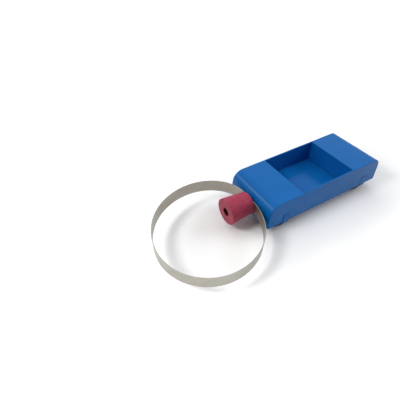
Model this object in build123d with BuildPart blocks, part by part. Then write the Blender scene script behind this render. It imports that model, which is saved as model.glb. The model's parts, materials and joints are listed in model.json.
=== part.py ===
from build123d import *
from math import radians, sin, cos
import os

# A small four-wheeled dynamics cart for physics teaching. It has a load tray in its deck,
# a spring-steel hoop in front as a bumper, and a rubber stopper that holds the hoop on its peg.
# Millimetres, +X forward to the hoop, +Y to the cart's left, +Z up.
# The origin is on the table, midway between the four wheels.

os.makedirs("parts", exist_ok=True)

# Body shell
lower_edge = 10.3         # lower edge of the walls above the table
body_depth = 24.2         # from there up to the deck
body_width = 57.0         # across the deck
side_flare = 1.0          # each side wall leans out this far by its lower edge
body_tail = 65.5          # rear wall behind the origin
body_nose = 69.0          # lower front edge ahead of the origin
front_lean = 2.4          # the front wall leans back this far by the deck
front_round = 10.4        # radius from the front wall into the deck
rear_round = 7.4          # radius from the deck into the rear wall
edge_round = 0.7
wall = 1.8
deck_wall = 2.0
rib_thickness = 1.2
rib_depth = 2.4
rib_spacing = 24.0        # between the two ribs under each deck

# Load tray
tray_center_x = 1.0
tray_length = 60.6
tray_depth = 20.8
tray_side_wall = 1.4      # side wall left beside the tray at deck level
tray_floor_wall = 1.8
tray_edge_round = 0.4
tray_corner_round = 0.8

# Axles, and the slots and keepers that hold them
wheelbase = 97.8
wheel_radius = 14.0
axle_radius = 1.5
slot_width = 6.9
slot_above_axle = 5.4     # from the axle up to the top of the slot
slot_corner = 1.3
keeper_gap = 1.0          # in the slot ahead of the keeper's tab and above it
keeper_rear_gap = 0.06    # and behind it
keeper_recess = 0.1       # tab set back from the side wall, whose slope it follows
keeper_proud = 1.9        # tab below the lower edge of the wall
keeper_tab_round = 0.8
keeper_flange = 1.0
keeper_lap = 1.8          # flange beyond the slot
keeper_bore_depth = 1.7

# Wheels
wheel_width = 6.0
wheel_inset = 3.4         # outer face of the wheel inside the edge of the deck
tyre_thickness = 1.4      # over its seat on the rim
rim_thickness = 1.3
rim_lip = 0.5             # lip beyond the seat, and its width
web_thickness = 2.0
hub_radius = 6.0
hub_width = 5.2
tyre_width = wheel_width - 2 * rim_lip
tyre_round = 0.6

# Ball bearings, the common 3 x 8 x 3 mm size
bearing_radius = 4.0
bearing_width = 3.0
ring_thickness = 0.68
ring_web = 0.41           # left of the ring under the ball groove
ball_count = 7
ball_clearance = 0.05
bearing_lip = 0.6         # hub lip that the outer ring sits against
sleeve_radius = 2.1       # collars and spacer tubes on the axle

# Bumper peg, through the front wall
peg_drop = 14.7           # peg below the deck
peg_radius = 3.95
peg_reach = 16.0          # peg beyond the hoop strip
peg_chamfer = 0.8
stud_radius = 2.0
stud_gap = 0.15
stud_end = 1.0            # thread past the nut
boss_radius = 6.4
boss_proud = 0.15         # boss face ahead of the lower front edge
boss_depth = 4.2
washer_radius = 4.5
washer_thickness = 1.0
nut_across_flats = 7.0
nut_height = 3.2

# Hoop spring
strip_width = 12.7
strip_thickness = 0.5
hoop_reach = 97.7         # front of the hoop ahead of the boss
hoop_left = 59.0          # widest point left of the peg
hoop_left_x = 51.6        # and how far ahead of the boss it is
hoop_right = 42.2         # widest point right of the peg
hoop_right_x = 42.2
hoop_front_y = 13.7       # front of the hoop left of the peg
clamp_flat = 7.0          # half the flat stretch behind the stopper, where the ends lap
hoop_roll = 2.5           # degrees that the hoop hangs down on its left
peg_hole_gap = 0.15       # around the peg in the strip

# Rubber stopper, with one hole through it
stopper_length = 23.8
stopper_small_radius = 10.5
stopper_large_radius = 12.7
stopper_bore_gap = 0.05   # around the peg
stopper_edge = 0.4
stopper_seat = 0.05       # between the strip and the stopper

# Places worked out from the sizes above
bottom = lower_edge
deck_height = lower_edge + body_depth
half_width = body_width / 2
axle_z = wheel_radius
rim_radius = wheel_radius - tyre_thickness
wheel_y = half_width - wheel_inset - wheel_width / 2
tray_floor_z = deck_height - tray_depth
slot_top = axle_z + slot_above_axle
slot_height = slot_top - bottom
peg_z = deck_height - peg_drop
boss_x = body_nose + boss_proud
stopper_x = boss_x + 2 * strip_thickness + stopper_seat
tail_x = boss_x - boss_depth - washer_thickness - nut_height - stud_end
ball_circle = (bearing_radius + axle_radius) / 2
ball_radius = (bearing_radius - axle_radius) / 2 - ring_web - ball_clearance
bearing_inner_y = wheel_y - bearing_width / 2
bearing_outer_y = wheel_y + bearing_width / 2
keeper_outer_y = half_width + side_flare * (deck_height - slot_top) / body_depth - keeper_recess
keeper_inner_y = keeper_outer_y + keeper_recess - wall - keeper_flange
axle_places = {"front": wheelbase / 2, "rear": -wheelbase / 2}
sides = {"left": 1, "right": -1}


def front_x(z):
    """The front wall's outer face at height z."""
    return body_nose - front_lean * (z - bottom) / body_depth


def side_y(z):
    """The side wall's outer face at height z."""
    return half_width + side_flare * (deck_height - z) / body_depth


def body_block(inset, base, top):
    """The body's outside shape from base to top, with its walls drawn in by inset."""
    with BuildPart() as block:
        with BuildSketch(Plane.XZ) as profile:
            with BuildLine():
                Polyline(
                    (-body_tail + inset, base),
                    (front_x(base) - inset, base),
                    (front_x(top) - inset, top),
                    (-body_tail + inset, top),
                    close=True,
                )
            make_face()
            fillet(profile.vertices().group_by(Axis.Y)[-1].sort_by(Axis.X)[-1], front_round - inset)
            fillet(profile.vertices().group_by(Axis.Y)[-1].sort_by(Axis.X)[0], rear_round - inset)
        extrude(amount=body_width, both=True)
        with BuildSketch(Plane.YZ):
            with BuildLine():
                Polyline(
                    (-side_y(base) + inset, base),
                    (side_y(base) - inset, base),
                    (side_y(top) - inset, top),
                    (-side_y(top) + inset, top),
                    close=True,
                )
            make_face()
        extrude(amount=body_nose + body_tail, both=True, mode=Mode.INTERSECT)
    return block.part


def hoop_outline(inset):
    """The hoop's outline, drawn in by inset: a flat at the clamp and four quarter ellipses."""
    left = hoop_left - inset
    right = hoop_right - inset
    reach = hoop_reach - inset
    flat = clamp_flat
    with BuildSketch() as outline:
        with BuildLine():
            Line((inset, -flat), (inset, flat))
            EllipticalCenterArc(
                (hoop_left_x, flat), hoop_left_x - inset, left - flat, start_angle=180, arc_size=-90
            )
            EllipticalCenterArc(
                (hoop_left_x, hoop_front_y),
                reach - hoop_left_x,
                left - hoop_front_y,
                start_angle=90,
                arc_size=-90,
            )
            EllipticalCenterArc(
                (hoop_right_x, hoop_front_y),
                reach - hoop_right_x,
                right + hoop_front_y,
                start_angle=0,
                arc_size=-90,
            )
            EllipticalCenterArc(
                (hoop_right_x, -flat),
                hoop_right_x - inset,
                right - flat,
                start_angle=-90,
                arc_size=-90,
            )
        make_face()
    return outline.sketch


def half_ring(inner_radius, outer_radius, low, high):
    """One half of a ring's section, x being its radius and y its width."""
    with Locations((inner_radius, low)):
        Rectangle(outer_radius - inner_radius, high - low, align=(Align.MIN, Align.MIN))


# Body shell: one moulding, open underneath
cavity = body_block(wall, bottom - 2 * keeper_proud, deck_height - deck_wall)
keeper_limit = body_block(keeper_recess, bottom - 2 * keeper_proud, deck_height)

with BuildPart() as body_shell:
    add(body_block(0, bottom, deck_height))
    side_faces = body_shell.faces().sort_by(Axis.Y)
    side_edges = side_faces[0].edges() + side_faces[-1].edges()
    fillet(side_edges.filter_by_position(Axis.Z, bottom + 1, deck_height + 1), edge_round)
    add(cavity, mode=Mode.SUBTRACT)

    # Ribs under the decks
    with BuildSketch(Plane.XY.offset(deck_height - deck_wall - rib_depth)):
        with GridLocations(0, rib_spacing, 1, 2):
            Rectangle(2 * (body_tail - front_round), rib_thickness)
    extrude(amount=rib_depth + deck_wall / 2)

    # Tray walls and floor, then the tray itself
    with BuildSketch(Plane.XY.offset(tray_floor_z - tray_floor_wall)):
        with Locations((tray_center_x, 0)):
            Rectangle(tray_length + 2 * wall, body_width - 2 * edge_round)
    extrude(amount=tray_depth + tray_floor_wall - deck_wall / 2)
    with BuildSketch(Plane.XY.offset(tray_floor_z)):
        with Locations((tray_center_x, 0)):
            RectangleRounded(tray_length, body_width - 2 * tray_side_wall, tray_corner_round)
    extrude(amount=tray_depth, mode=Mode.SUBTRACT)
    fillet(body_shell.edges(Select.LAST).group_by(Axis.Z)[-1], tray_edge_round)

    # Slots for the axles, open below
    for axle_x in axle_places.values():
        with BuildSketch(Plane.XZ) as slot:
            with Locations((axle_x, slot_top)):
                Rectangle(slot_width, 2 * slot_height, align=(Align.CENTER, Align.MAX))
            fillet(slot.vertices().group_by(Axis.Y)[-1], slot_corner)
        extrude(amount=body_width, both=True, mode=Mode.SUBTRACT)

    # Boss for the peg, with its hole
    with BuildSketch(Plane.YZ.offset(boss_x - boss_depth)):
        with Locations((0, peg_z)):
            Circle(boss_radius)
    extrude(amount=boss_depth)
    with BuildSketch(Plane.YZ.offset(boss_x - 2 * boss_depth)):
        with Locations((0, peg_z)):
            Circle(stud_radius + stud_gap)
    extrude(amount=3 * boss_depth, mode=Mode.SUBTRACT)
body_shell.part.label = "body_shell"
export_step(body_shell.part, "parts/body_shell.step")

# Bumper peg: the pin that carries the hoop and the stopper, with its threaded tail
with BuildPart() as bumper_peg:
    with BuildSketch(Plane.YZ.offset(boss_x)):
        with Locations((0, peg_z)):
            Circle(peg_radius)
    extrude(amount=2 * strip_thickness + peg_reach)
    chamfer(bumper_peg.edges().sort_by(Axis.X)[-1], peg_chamfer)
    with BuildSketch(Plane.YZ.offset(tail_x)):
        with Locations((0, peg_z)):
            Circle(stud_radius)
    extrude(amount=boss_x - tail_x)
bumper_peg.part.label = "bumper_peg"
export_step(bumper_peg.part, "parts/bumper_peg.step")

with BuildPart() as peg_washer:
    with BuildSketch(Plane.YZ.offset(boss_x - boss_depth - washer_thickness)):
        with Locations((0, peg_z)):
            Circle(washer_radius)
            Circle(stud_radius + stud_gap, mode=Mode.SUBTRACT)
    extrude(amount=washer_thickness)
peg_washer.part.label = "peg_washer"
export_step(peg_washer.part, "parts/peg_washer.step")

with BuildPart() as peg_nut:
    with BuildSketch(Plane.YZ.offset(boss_x - boss_depth - washer_thickness - nut_height)):
        with Locations((0, peg_z)):
            RegularPolygon(nut_across_flats / 2, 6, major_radius=False)
            Circle(stud_radius, mode=Mode.SUBTRACT)
    extrude(amount=nut_height)
peg_nut.part.label = "peg_nut"
export_step(peg_nut.part, "parts/peg_nut.step")

# Hoop spring: a strip bent into a loop, with its ends lapped and pierced for the peg
roll = radians(hoop_roll)
strip_up = Vector(0, sin(roll), cos(roll))
strip_base = Vector(boss_x, 0, peg_z) - strip_up * strip_width / 2

with BuildPart() as hoop_spring:
    with BuildSketch(Plane(strip_base, x_dir=(1, 0, 0), z_dir=strip_up)):
        add(hoop_outline(0))
        add(hoop_outline(strip_thickness), mode=Mode.SUBTRACT)
        with Locations((strip_thickness, 0)):
            Rectangle(strip_thickness, 2 * clamp_flat, align=(Align.MIN, Align.CENTER))
    extrude(amount=strip_width)
    with BuildSketch(Plane.YZ.offset(boss_x - strip_thickness)):
        with Locations((0, peg_z)):
            Circle(peg_radius + peg_hole_gap)
    extrude(amount=4 * strip_thickness, mode=Mode.SUBTRACT)
hoop_spring.part.label = "hoop_spring"
export_step(hoop_spring.part, "parts/hoop_spring.step")

with BuildPart() as rubber_stopper:
    with BuildSketch(Plane.XZ) as section:
        with BuildLine():
            Polyline(
                (stopper_x, peg_z + peg_radius + stopper_bore_gap),
                (stopper_x, peg_z + stopper_small_radius),
                (stopper_x + stopper_length, peg_z + stopper_large_radius),
                (stopper_x + stopper_length, peg_z + peg_radius + stopper_bore_gap),
                close=True,
            )
        make_face()
        fillet(section.vertices().group_by(Axis.X)[0].sort_by(Axis.Y)[-1], stopper_edge)
        fillet(section.vertices().group_by(Axis.X)[-1].sort_by(Axis.Y)[-1], stopper_edge)
    revolve(axis=Axis((0, 0, peg_z), (1, 0, 0)))
rubber_stopper.part.label = "rubber_stopper"
export_step(rubber_stopper.part, "parts/rubber_stopper.step")

# One axle at each end, with a wheel and its bearing on each side
for end, axle_x in axle_places.items():
    with BuildPart() as axle:
        with BuildSketch(Plane.XZ):
            with Locations((axle_x, axle_z)):
                Circle(axle_radius)
        extrude(amount=keeper_inner_y + keeper_bore_depth - 0.1, both=True)
        chamfer(axle.edges().filter_by(GeomType.CIRCLE), axle_radius / 5)
    axle.part.label = f"{end}_axle"
    export_step(axle.part, f"parts/{end}_axle.step")

    with BuildPart() as spacer_tube:
        with BuildSketch(Plane.XZ):
            with Locations((axle_x, axle_z)):
                Circle(sleeve_radius)
                Circle(axle_radius, mode=Mode.SUBTRACT)
        extrude(amount=bearing_inner_y, both=True)
    spacer_tube.part.label = f"{end}_spacer_tube"
    export_step(spacer_tube.part, f"parts/{end}_spacer_tube.step")

    for hand, side in sides.items():
        corner = f"{end}_{hand}"
        turning = Axis((axle_x, 0, axle_z), (0, 1, 0))
        # Sections of turned pieces: x is the radius, y points outwards from the wheel's middle
        radial = Plane((axle_x, side * wheel_y, axle_z), x_dir=(1, 0, 0), z_dir=(0, 0, side))
        # Outlines on the wall, extruded outwards
        inner_face = Plane(
            (axle_x, side * keeper_inner_y, 0), x_dir=(-side, 0, 0), z_dir=(0, side, 0)
        )

        # Keeper: a flange against the inside of the wall and a tab out through the slot
        with BuildPart() as axle_keeper:
            with BuildSketch(inner_face):
                with Locations((0, bottom)):
                    Rectangle(
                        slot_width + 2 * keeper_lap,
                        slot_height + keeper_lap,
                        align=(Align.CENTER, Align.MIN),
                    )
            extrude(amount=2 * keeper_flange + side_flare)
            add(cavity, mode=Mode.INTERSECT)
            with BuildSketch(inner_face) as tab:
                with Locations((side * (keeper_gap - keeper_rear_gap) / 2, slot_top - keeper_gap)):
                    Rectangle(
                        slot_width - keeper_gap - keeper_rear_gap,
                        slot_height - keeper_gap + keeper_proud,
                        align=(Align.CENTER, Align.MAX),
                    )
                fillet(tab.vertices(), keeper_tab_round)
            extrude(amount=keeper_outer_y - keeper_inner_y + 2 * side_flare)
            add(keeper_limit, mode=Mode.INTERSECT)
            with BuildSketch(inner_face):
                with Locations((0, axle_z)):
                    Circle(axle_radius)
            extrude(amount=keeper_bore_depth, mode=Mode.SUBTRACT)
        axle_keeper.part.label = f"{corner}_axle_keeper"
        export_step(axle_keeper.part, f"parts/{corner}_axle_keeper.step")

        # Collar between the bearing and the keeper
        with BuildPart() as axle_collar:
            with BuildSketch(radial):
                half_ring(
                    axle_radius, sleeve_radius, bearing_outer_y - wheel_y, keeper_inner_y - wheel_y
                )
            revolve(axis=turning)
        axle_collar.part.label = f"{corner}_axle_collar"
        export_step(axle_collar.part, f"parts/{corner}_axle_collar.step")

        with BuildPart() as wheel:
            with BuildSketch(radial):
                half_ring(bearing_radius, hub_radius, -hub_width / 2, hub_width / 2)
                half_ring(
                    bearing_radius - bearing_lip, hub_radius, -hub_width / 2, -bearing_width / 2
                )
                half_ring(hub_radius, rim_radius, -web_thickness / 2, web_thickness / 2)
                half_ring(rim_radius - rim_thickness, rim_radius, -wheel_width / 2, wheel_width / 2)
                half_ring(rim_radius, rim_radius + rim_lip, -wheel_width / 2, -tyre_width / 2)
                half_ring(rim_radius, rim_radius + rim_lip, tyre_width / 2, wheel_width / 2)
            revolve(axis=turning)
        wheel.part.label = f"{corner}_wheel"
        export_step(wheel.part, f"parts/{corner}_wheel.step")

        with BuildPart() as tyre:
            with BuildSketch(radial) as section:
                half_ring(rim_radius, wheel_radius, -tyre_width / 2, tyre_width / 2)
                fillet(section.vertices().sort_by(Axis.X)[-2:], tyre_round)
            revolve(axis=turning)
        tyre.part.label = f"{corner}_tyre"
        export_step(tyre.part, f"parts/{corner}_tyre.step")

        # Bearing rings, each with the groove that the balls run in
        ring_radii = {
            "outer": (bearing_radius - ring_thickness, bearing_radius),
            "inner": (axle_radius, axle_radius + ring_thickness),
        }
        for place, radii in ring_radii.items():
            with BuildPart() as ring:
                with BuildSketch(radial):
                    half_ring(*radii, -bearing_width / 2, bearing_width / 2)
                    with Locations((ball_circle, 0)):
                        Circle(ball_radius + ball_clearance, mode=Mode.SUBTRACT)
                revolve(axis=turning)
            ring.part.label = f"{corner}_bearing_{place}_ring"
            export_step(ring.part, f"parts/{corner}_bearing_{place}_ring.step")

        with BuildPart(Plane((axle_x, side * wheel_y, axle_z), z_dir=(0, 1, 0))) as balls:
            with PolarLocations(ball_circle, ball_count):
                Sphere(ball_radius)
        balls.part.label = f"{corner}_bearing_balls"
        export_step(balls.part, f"parts/{corner}_bearing_balls.step")
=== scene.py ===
import json
import math

import bpy
from mathutils import Matrix, Vector

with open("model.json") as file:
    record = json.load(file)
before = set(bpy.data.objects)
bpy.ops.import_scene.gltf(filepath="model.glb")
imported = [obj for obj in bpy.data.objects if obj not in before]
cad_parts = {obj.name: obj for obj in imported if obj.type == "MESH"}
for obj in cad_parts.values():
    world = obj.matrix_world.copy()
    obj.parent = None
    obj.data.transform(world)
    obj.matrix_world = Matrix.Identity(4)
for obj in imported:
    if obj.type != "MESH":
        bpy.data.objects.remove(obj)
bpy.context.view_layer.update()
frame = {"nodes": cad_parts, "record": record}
nodes = frame["nodes"]


# Shader helpers

def seen_rays(tree):
    """1 for what the camera, mirrors and glass see, 0 for what lights other surfaces."""
    rays = tree.nodes.new("ShaderNodeLightPath").outputs
    seen = rays["Is Camera Ray"]
    for kind in ("Is Glossy Ray", "Is Transmission Ray"):
        either = tree.nodes.new("ShaderNodeMath")
        either.operation = "MAXIMUM"
        tree.links.new(seen, either.inputs[0])
        tree.links.new(rays[kind], either.inputs[1])
        seen = either.outputs[0]
    return seen


class Shader:
    """A node material with a Principled surface. Its coordinates are the part's own,
    in metres."""

    def __init__(self, name, roughness=0.5, metallic=0.0, ior=1.5, specular=0.5):
        self.material = bpy.data.materials.new(name)
        self.material.use_nodes = True
        self.tree = self.material.node_tree
        self.tree.nodes.clear()
        self.surface = self.add("ShaderNodeBsdfPrincipled")
        self.surface.inputs["Roughness"].default_value = roughness
        self.surface.inputs["Metallic"].default_value = metallic
        self.surface.inputs["IOR"].default_value = ior
        self.surface.inputs["Specular IOR Level"].default_value = specular
        self.output = self.add("ShaderNodeOutputMaterial").inputs["Surface"]
        self.link(self.surface.outputs[0], self.output)
        self.place = self.add("ShaderNodeTexCoord").outputs["Object"]

    def add(self, kind, **settings):
        node = self.tree.nodes.new(kind)
        for key, value in settings.items():
            setattr(node, key, value)
        return node

    def link(self, output, socket):
        self.tree.links.new(output, socket)

    def put(self, socket, value):
        if isinstance(value, bpy.types.NodeSocket):
            self.link(value, socket)
        else:
            socket.default_value = value

    def math(self, operation, a, b, c=0.0):
        node = self.add("ShaderNodeMath", operation=operation)
        for socket, value in zip(node.inputs, (a, b, c)):
            self.put(socket, value)
        return node.outputs[0]

    def stretch(self, scale, turn=(0, 0, 0), move=(0, 0, 0)):
        """Coordinates scaled, turned and moved. A scale below 1 draws features out."""
        node = self.add("ShaderNodeMapping", vector_type="POINT")
        self.link(self.place, node.inputs["Vector"])
        node.inputs["Location"].default_value = move
        node.inputs["Rotation"].default_value = turn
        node.inputs["Scale"].default_value = scale
        return node.outputs[0]

    def noise(self, size, detail=2.0, roughness=0.5, vector=None):
        """Noise with features of about this size in metres."""
        node = self.add("ShaderNodeTexNoise")
        self.link(vector or self.place, node.inputs["Vector"])
        node.inputs["Scale"].default_value = 1.0 / size
        node.inputs["Detail"].default_value = detail
        node.inputs["Roughness"].default_value = roughness
        return node.outputs["Fac"]

    def dots(self, spacing, inner, outer):
        """1 in round dots, fading out from the inner to the outer share of their spacing."""
        node = self.add("ShaderNodeTexVoronoi")
        self.link(self.place, node.inputs["Vector"])
        node.inputs["Scale"].default_value = 1.0 / spacing
        return self.ramp(node.outputs["Distance"], inner, outer, 1.0, 0.0)

    def ramp(self, value, low, high, to_low=0.0, to_high=1.0):
        """Smooth step from to_low, at low or less, up to to_high, at high or more."""
        node = self.add("ShaderNodeMapRange", clamp=True, interpolation_type="SMOOTHSTEP")
        for key, number in (
            ("Value", value), ("From Min", low), ("From Max", high),
            ("To Min", to_low), ("To Max", to_high),
        ):
            self.put(node.inputs[key], number)
        return node.outputs["Result"]

    def mix(self, factor, a, b):
        node = self.add("ShaderNodeMix", data_type="RGBA")
        self.put(node.inputs["Factor"], factor)
        for key, value in (("A", a), ("B", b)):
            socket = [s for s in node.inputs if s.name == key and s.type == "RGBA"][0]
            linked = isinstance(value, bpy.types.NodeSocket)
            self.put(socket, value if linked else (*value, 1))
        return [s for s in node.outputs if s.type == "RGBA"][0]

    def hollows(self, depth, own=False):
        """0 in the open and up to 1 in gaps and corners closer than this depth.
        With own, only the piece's own hollows count."""
        closed, open_air = 0.35, 0.95
        around = self.add("ShaderNodeAmbientOcclusion", samples=8, only_local=own)
        around.inputs["Distance"].default_value = depth
        return self.ramp(around.outputs["AO"], closed, open_air, 1.0, 0.0)

    def rounded(self, radius):
        """The normal, as if edges were rounded by this radius."""
        node = self.add("ShaderNodeBevel", samples=6)
        node.inputs["Radius"].default_value = radius
        return node.outputs[0]

    def edges(self, radius, sharp=0.25):
        """1 on edges that turn sharply within this radius. A lower sharp takes in more."""
        blunt = 0.03
        dot = self.add("ShaderNodeVectorMath", operation="DOT_PRODUCT")
        self.link(self.rounded(radius), dot.inputs[0])
        self.link(self.add("ShaderNodeNewGeometry").outputs["Normal"], dot.inputs[1])
        return self.ramp(self.math("SUBTRACT", 1.0, dot.outputs["Value"]), blunt, sharp)

    def times(self, a, b):
        return self.math("MULTIPLY", a, b)

    def color(self, value):
        self.put(self.surface.inputs["Base Color"], value)

    def rough(self, value):
        self.put(self.surface.inputs["Roughness"], value)

    def bump(self, layers, round_edges=0.0):
        """Stacks (height, metres high) layers, over edges rounded by round_edges."""
        normal = self.rounded(round_edges) if round_edges else None
        for height, distance in layers:
            node = self.add("ShaderNodeBump")
            node.inputs["Distance"].default_value = distance
            self.link(height, node.inputs["Height"])
            if normal is not None:
                self.link(normal, node.inputs["Normal"])
            normal = node.outputs[0]
        self.link(normal, self.surface.inputs["Normal"])


# Finishes. Colours are linear; sizes are in metres.

def body_plastic():
    """Glossy blue moulding: faint orange peel, flow marks, fine rubs, paler worn edges and
    painted shade darkening the gaps round the keepers and other tight corners."""
    blue, lighter = (0.0028, 0.119, 0.398), (0.0034, 0.134, 0.434)
    # The last colour on the next line is painted shade, a deep navy for gaps and tight
    # corners.
    clearer, gap_shade_blue = (0.0024, 0.123, 0.418), (0.0015, 0.020, 0.075)
    worn_blue, rubbed_blue = (0.045, 0.215, 0.56), (0.06, 0.22, 0.55)

    m = Shader("body_plastic", specular=0.15)
    peel = m.noise(0.0009, 2.0, 0.45)
    flow = m.noise(0.022, 3.0, 0.55, m.stretch((0.35, 1.0, 1.0)))
    cloud = m.noise(0.009, 4.0, 0.6)
    fine = m.noise(0.00035, 1.0)
    lengthwise = m.stretch((0.06, 1.0, 0.6), turn=(0.1, 0.05, 0.35))
    crosswise = m.stretch((1.0, 0.07, 0.5), turn=(0.0, 0.1, -0.45))
    rubs = m.math(
        "MAXIMUM",
        m.ramp(m.noise(0.0022, 3.0, 0.7, lengthwise), 0.66, 0.74),
        m.ramp(m.noise(0.002, 3.0, 0.7, crosswise), 0.68, 0.76),
    )
    # Painted shade: the mask finds gaps and corners within 1 mm, where the colour darkens
    # toward deep navy.
    gap_shade = m.hollows(0.001)
    worn = m.times(m.edges(0.0007), m.ramp(m.noise(0.004, 4.0, 0.65), 0.4, 0.62))
    worn = m.times(worn, m.math("SUBTRACT", 1.0, gap_shade))

    tint = m.mix(m.ramp(flow, 0.3, 0.7), blue, lighter)
    tint = m.mix(m.ramp(cloud, 0.35, 0.7, 0.0, 0.5), tint, clearer)
    tint = m.mix(m.times(worn, 0.30), tint, worn_blue)
    tint = m.mix(m.times(rubs, 0.05), tint, rubbed_blue)
    m.color(m.mix(m.times(gap_shade, 0.7), tint, gap_shade_blue))
    gloss = m.ramp(cloud, 0.3, 0.7, 0.150, 0.205)
    gloss = m.math("MULTIPLY_ADD", rubs, 0.10, gloss)
    m.rough(m.math("MULTIPLY_ADD", worn, 0.12, gloss))
    m.bump([(peel, 0.000010), (fine, 0.0000012), (rubs, -0.000002)], round_edges=0.00018)
    return m.material


def black_plastic():
    """Black moulding of the wheels, collars and tubes: fine spark texture and grey
    scuffed edges."""
    black, lighter = (0.007, 0.007, 0.008), (0.012, 0.012, 0.013)
    scuffed = (0.050, 0.050, 0.052)

    m = Shader("black_plastic", specular=0.3)
    grain = m.noise(0.00035, 2.0, 0.6)
    cloud = m.noise(0.006, 4.0, 0.6)
    worn = m.times(m.edges(0.0004), m.ramp(m.noise(0.0025, 4.0, 0.65), 0.4, 0.65))
    tint = m.mix(m.ramp(cloud, 0.3, 0.7), black, lighter)
    m.color(m.mix(m.times(worn, 0.6), tint, scuffed))
    m.rough(m.math("MULTIPLY_ADD", grain, 0.16, m.ramp(cloud, 0.3, 0.7, 0.28, 0.40)))
    m.bump([(grain, 0.000008)], round_edges=0.00012)
    return m.material


def tyre_rubber():
    """Matt black rubber, slightly dusty."""
    black, dusty = (0.007, 0.007, 0.007), (0.018, 0.0175, 0.017)

    m = Shader("tyre_rubber", ior=1.48, specular=0.2)
    grain = m.noise(0.00025, 3.0, 0.7)
    dust = m.ramp(m.noise(0.003, 4.0, 0.65), 0.42, 0.68)
    m.color(m.mix(dust, black, dusty))
    m.rough(m.ramp(grain, 0.3, 0.7, 0.62, 0.78))
    m.bump([(grain, 0.000016), (dust, 0.000004)], round_edges=0.00012)
    return m.material


def spring_steel():
    """Cold-rolled strip: rolling lines along its length, a faint oil tint and bright
    sheared edges."""
    dark_line, pale_line = (0.357, 0.343, 0.299), (0.430, 0.414, 0.369)
    pale_band, oil = (0.457, 0.440, 0.396), (0.367, 0.335, 0.276)
    spot, sheared = (0.36, 0.31, 0.25), (0.74, 0.73, 0.70)
    hang = math.radians(-2.5)  # the hoop and its rolling lines hang lower on one side

    m = Shader("spring_steel", metallic=1.0)
    lines = m.noise(0.00012, 3.0, 0.6, m.stretch((0.02, 0.02, 1.0), turn=(hang, 0, 0)))
    bands = m.noise(0.0011, 3.0, 0.6, m.stretch((0.03, 0.03, 1.0), turn=(hang, 0, 0)))
    cloud = m.noise(0.012, 4.0, 0.6)
    spots = m.times(m.dots(0.0035, 0.06, 0.16), m.ramp(m.noise(0.01, 2.0), 0.5, 0.62))

    tint = m.mix(m.ramp(lines, 0.35, 0.65), dark_line, pale_line)
    tint = m.mix(m.ramp(bands, 0.35, 0.65, 0.0, 0.45), tint, pale_band)
    tint = m.mix(m.ramp(cloud, 0.4, 0.7, 0.0, 0.35), tint, oil)
    tint = m.mix(m.times(spots, 0.25), tint, spot)
    m.color(m.mix(m.times(m.edges(0.00012, sharp=0.2), 0.6), tint, sheared))
    gloss = m.ramp(lines, 0.3, 0.7, 0.34, 0.46)
    m.rough(m.math("MULTIPLY_ADD", m.ramp(cloud, 0.4, 0.7), 0.05, gloss))
    m.bump([(lines, 0.0000022), (bands, 0.000004)])
    return m.material


def turned_steel():
    """Plated steel of the axles, peg, washer and nut: fine marks and a dull zinc cloud."""
    dull, plated, bright = (0.50, 0.50, 0.49), (0.64, 0.64, 0.635), (0.80, 0.80, 0.79)

    m = Shader("steel", metallic=1.0)
    marks = m.noise(0.00018, 2.0, 0.6)
    cloud = m.noise(0.0035, 4.0, 0.65)
    tint = m.mix(m.ramp(cloud, 0.35, 0.68), dull, plated)
    m.color(m.mix(m.times(m.edges(0.0002), 0.6), tint, bright))
    m.rough(m.math("MULTIPLY_ADD", marks, 0.10, m.ramp(cloud, 0.35, 0.68, 0.30, 0.20)))
    m.bump([(marks, 0.000003)], round_edges=0.0001)
    return m.material


def bearing_steel():
    """Ground and polished bearing rings and balls."""
    polished, hazed = (0.66, 0.665, 0.67), (0.56, 0.56, 0.555)

    m = Shader("bearing_steel", metallic=1.0)
    haze = m.noise(0.0012, 4.0, 0.6)
    ground = m.noise(0.00009, 2.0, 0.6)
    m.color(m.mix(m.ramp(haze, 0.35, 0.7), polished, hazed))
    m.rough(m.math("MULTIPLY_ADD", ground, 0.06, m.ramp(haze, 0.35, 0.7, 0.10, 0.19)))
    m.bump([(ground, 0.0000008)], round_edges=0.00008)
    return m.material


def red_rubber():
    """Dull red stopper rubber: cloudy bloom, fine pits, chalky edges and painted shade in
    the bore.
    """
    red, bloom, fleck = (0.302, 0.031, 0.066), (0.374, 0.043, 0.086), (0.41, 0.066, 0.108)
    # The middle colour on the next line is painted shade, near black, for the bore.
    pit, bore_shade, chalky = (0.16, 0.02, 0.035), (0.020, 0.001, 0.003), (0.44, 0.13, 0.16)

    m = Shader("red_rubber", ior=1.46, specular=0.25)
    cloud = m.noise(0.006, 5.0, 0.6)
    fine = m.noise(0.0005, 3.0, 0.65)
    pits = m.times(m.dots(0.0016, 0.04, 0.14), m.ramp(m.noise(0.004, 2.0), 0.48, 0.6))
    patches = m.ramp(m.noise(0.003, 4.0, 0.65), 0.38, 0.62)
    worn = m.times(m.edges(0.0008, sharp=0.3), patches)

    tint = m.mix(m.ramp(cloud, 0.32, 0.68), red, bloom)
    tint = m.mix(m.ramp(fine, 0.4, 0.7, 0.0, 0.25), tint, fleck)
    tint = m.mix(m.times(pits, 0.4), tint, pit)
    # Painted shade: the piece's own hollows within 15 mm, mostly the bore, darken toward
    # near black.
    tint = m.mix(m.times(m.hollows(0.015, own=True), 0.92), tint, bore_shade)
    m.color(m.mix(m.times(worn, 0.25), tint, chalky))
    m.rough(m.ramp(fine, 0.3, 0.7, 0.40, 0.54))
    m.bump([(cloud, 0.00005), (fine, 0.000016), (pits, -0.00003)], round_edges=0.0002)
    return m.material


finishes = {
    "body_plastic": body_plastic(),
    "black_plastic": black_plastic(),
    "tyre_rubber": tyre_rubber(),
    "spring_steel": spring_steel(),
    "steel": turned_steel(),
    "bearing_steel": bearing_steel(),
    "red_rubber": red_rubber(),
}
for part in frame["record"]["subparts"]:
    slots = nodes[part["node"]].data.materials
    slots.clear()
    slots.append(finishes[part["material_slot"]])


# Floor

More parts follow.
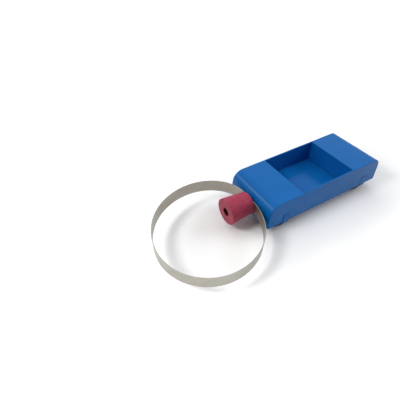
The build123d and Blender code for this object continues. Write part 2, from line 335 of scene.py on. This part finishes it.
def floor_material():
    """Pale paper, which the camera, mirrors and glass see as white with a shadow on it."""
    paper, white = (0.84, 0.845, 0.85), (1.0, 1.0, 1.0)
    oval, centre = (1.0, 2.0, 1.0), (-0.02, 0.0, 0.0)
    glow_starts, glow_full, glow_most = 0.115, 0.20, 0.2

    m = Shader("floor", roughness=0.9, specular=0.0)
    seen = seen_rays(m.tree)
    m.color(m.mix(seen, paper, white))
    away = m.add("ShaderNodeVectorMath", operation="LENGTH")
    m.link(m.stretch(oval, move=centre), away.inputs[0])
    glow = m.add("ShaderNodeEmission")
    strength = m.ramp(away.outputs["Value"], glow_starts, glow_full, 0.0, glow_most)
    m.put(glow.inputs["Strength"], m.times(seen, strength))
    both = m.add("ShaderNodeAddShader")
    m.link(m.surface.outputs[0], both.inputs[0])
    m.link(glow.outputs[0], both.inputs[1])
    m.link(both.outputs[0], m.output)
    return m.material


floor_reach = 1.5
corners = [
    (-floor_reach, -floor_reach, 0), (floor_reach, -floor_reach, 0),
    (floor_reach, floor_reach, 0), (-floor_reach, floor_reach, 0),
]
floor_mesh = bpy.data.meshes.new("floor")
floor_mesh.from_pydata(corners, [], [(0, 1, 2, 3)])
floor_mesh.materials.append(floor_material())
floor = bpy.data.objects.new("floor", floor_mesh)
bpy.context.scene.collection.objects.link(floor)


# Light

def studio(light):
    """A room that the camera, mirrors and glass see as white, and that lights evenly."""
    world = bpy.data.worlds.new("studio")
    bpy.context.scene.world = world
    world.use_nodes = True
    tree = world.node_tree
    tree.nodes.clear()
    strength = tree.nodes.new("ShaderNodeMapRange")
    strength.inputs["To Min"].default_value = light
    tree.links.new(seen_rays(tree), strength.inputs["Value"])
    sky = tree.nodes.new("ShaderNodeBackground")
    sky.inputs["Color"].default_value = (1, 1, 1, 1)
    tree.links.new(strength.outputs["Result"], sky.inputs["Strength"])
    out = tree.nodes.new("ShaderNodeOutputWorld")
    tree.links.new(sky.outputs[0], out.inputs["Surface"])


def add_light(name, kind, toward, color):
    data = bpy.data.lights.new(name, kind)
    data.color = color
    light = bpy.data.objects.new(name, data)
    light.rotation_euler = (-toward).to_track_quat("-Z", "Y").to_euler()
    bpy.context.scene.collection.objects.link(light)
    return light


def soft_light(name, elevation, azimuth, spread, strength, glossy=False):
    """Even light from one part of the studio, spread degrees across. Gloss mirrors it
    only with glossy."""
    up, around = math.radians(elevation), math.radians(azimuth)
    across = math.cos(up)
    toward = Vector((across * math.cos(around), across * math.sin(around), math.sin(up)))
    light = add_light(name, "SUN", toward, color=(0.98, 0.99, 1.0))
    light.data.angle = math.radians(spread)
    light.data.energy = math.pi * strength
    light.visible_glossy = glossy


def lamp(name, place, aim, size, strength):
    """A round lamp close to the cart. Its strength is its light at the place it aims at."""
    toward = place - aim
    light = add_light(name, "AREA", toward, color=(1.0, 0.99, 0.97))
    light.location = place
    light.data.shape = "DISK"
    light.data.size = size
    light.data.energy = math.pi ** 2 * toward.length_squared * strength


studio(light=0.016)
lamp(
    "key", place=Vector((0.551, -0.068, 0.535)), aim=Vector((0.06, 0.0, 0.02)),
    size=0.18, strength=0.36,
)
soft_light("top", elevation=80, azimuth=180, spread=70, strength=0.20)
soft_light("back", elevation=25, azimuth=162, spread=50, strength=0.49)
soft_light("rear", elevation=45, azimuth=180, spread=80, strength=0.12)
soft_light("side", elevation=45, azimuth=270, spread=60, strength=0.28)
soft_light("front", elevation=40, azimuth=0, spread=80, strength=0.09)
soft_light("strip", elevation=28, azimuth=321, spread=15, strength=0.09, glossy=True)


# Camera, at the photograph's viewing angle

camera_data = bpy.data.cameras.new("camera")
camera_data.lens = 29.755
camera_data.sensor_width = 36.0
camera = bpy.data.objects.new("camera", camera_data)
right = Vector((-0.86922, 0.49366, -0.02747))
up = Vector((-0.36024, -0.59429, 0.71905))
back = Vector((0.33864, 0.63491, 0.69441))
place = Vector((0.20998, 0.16954, 0.23294))
camera.matrix_world = Matrix((
    (right.x, up.x, back.x, place.x),
    (right.y, up.y, back.y, place.y),
    (right.z, up.z, back.z, place.z),
    (0, 0, 0, 1),
))
bpy.context.scene.collection.objects.link(camera)
bpy.context.scene.camera = camera
bpy.context.scene.view_settings.view_transform = "Standard"
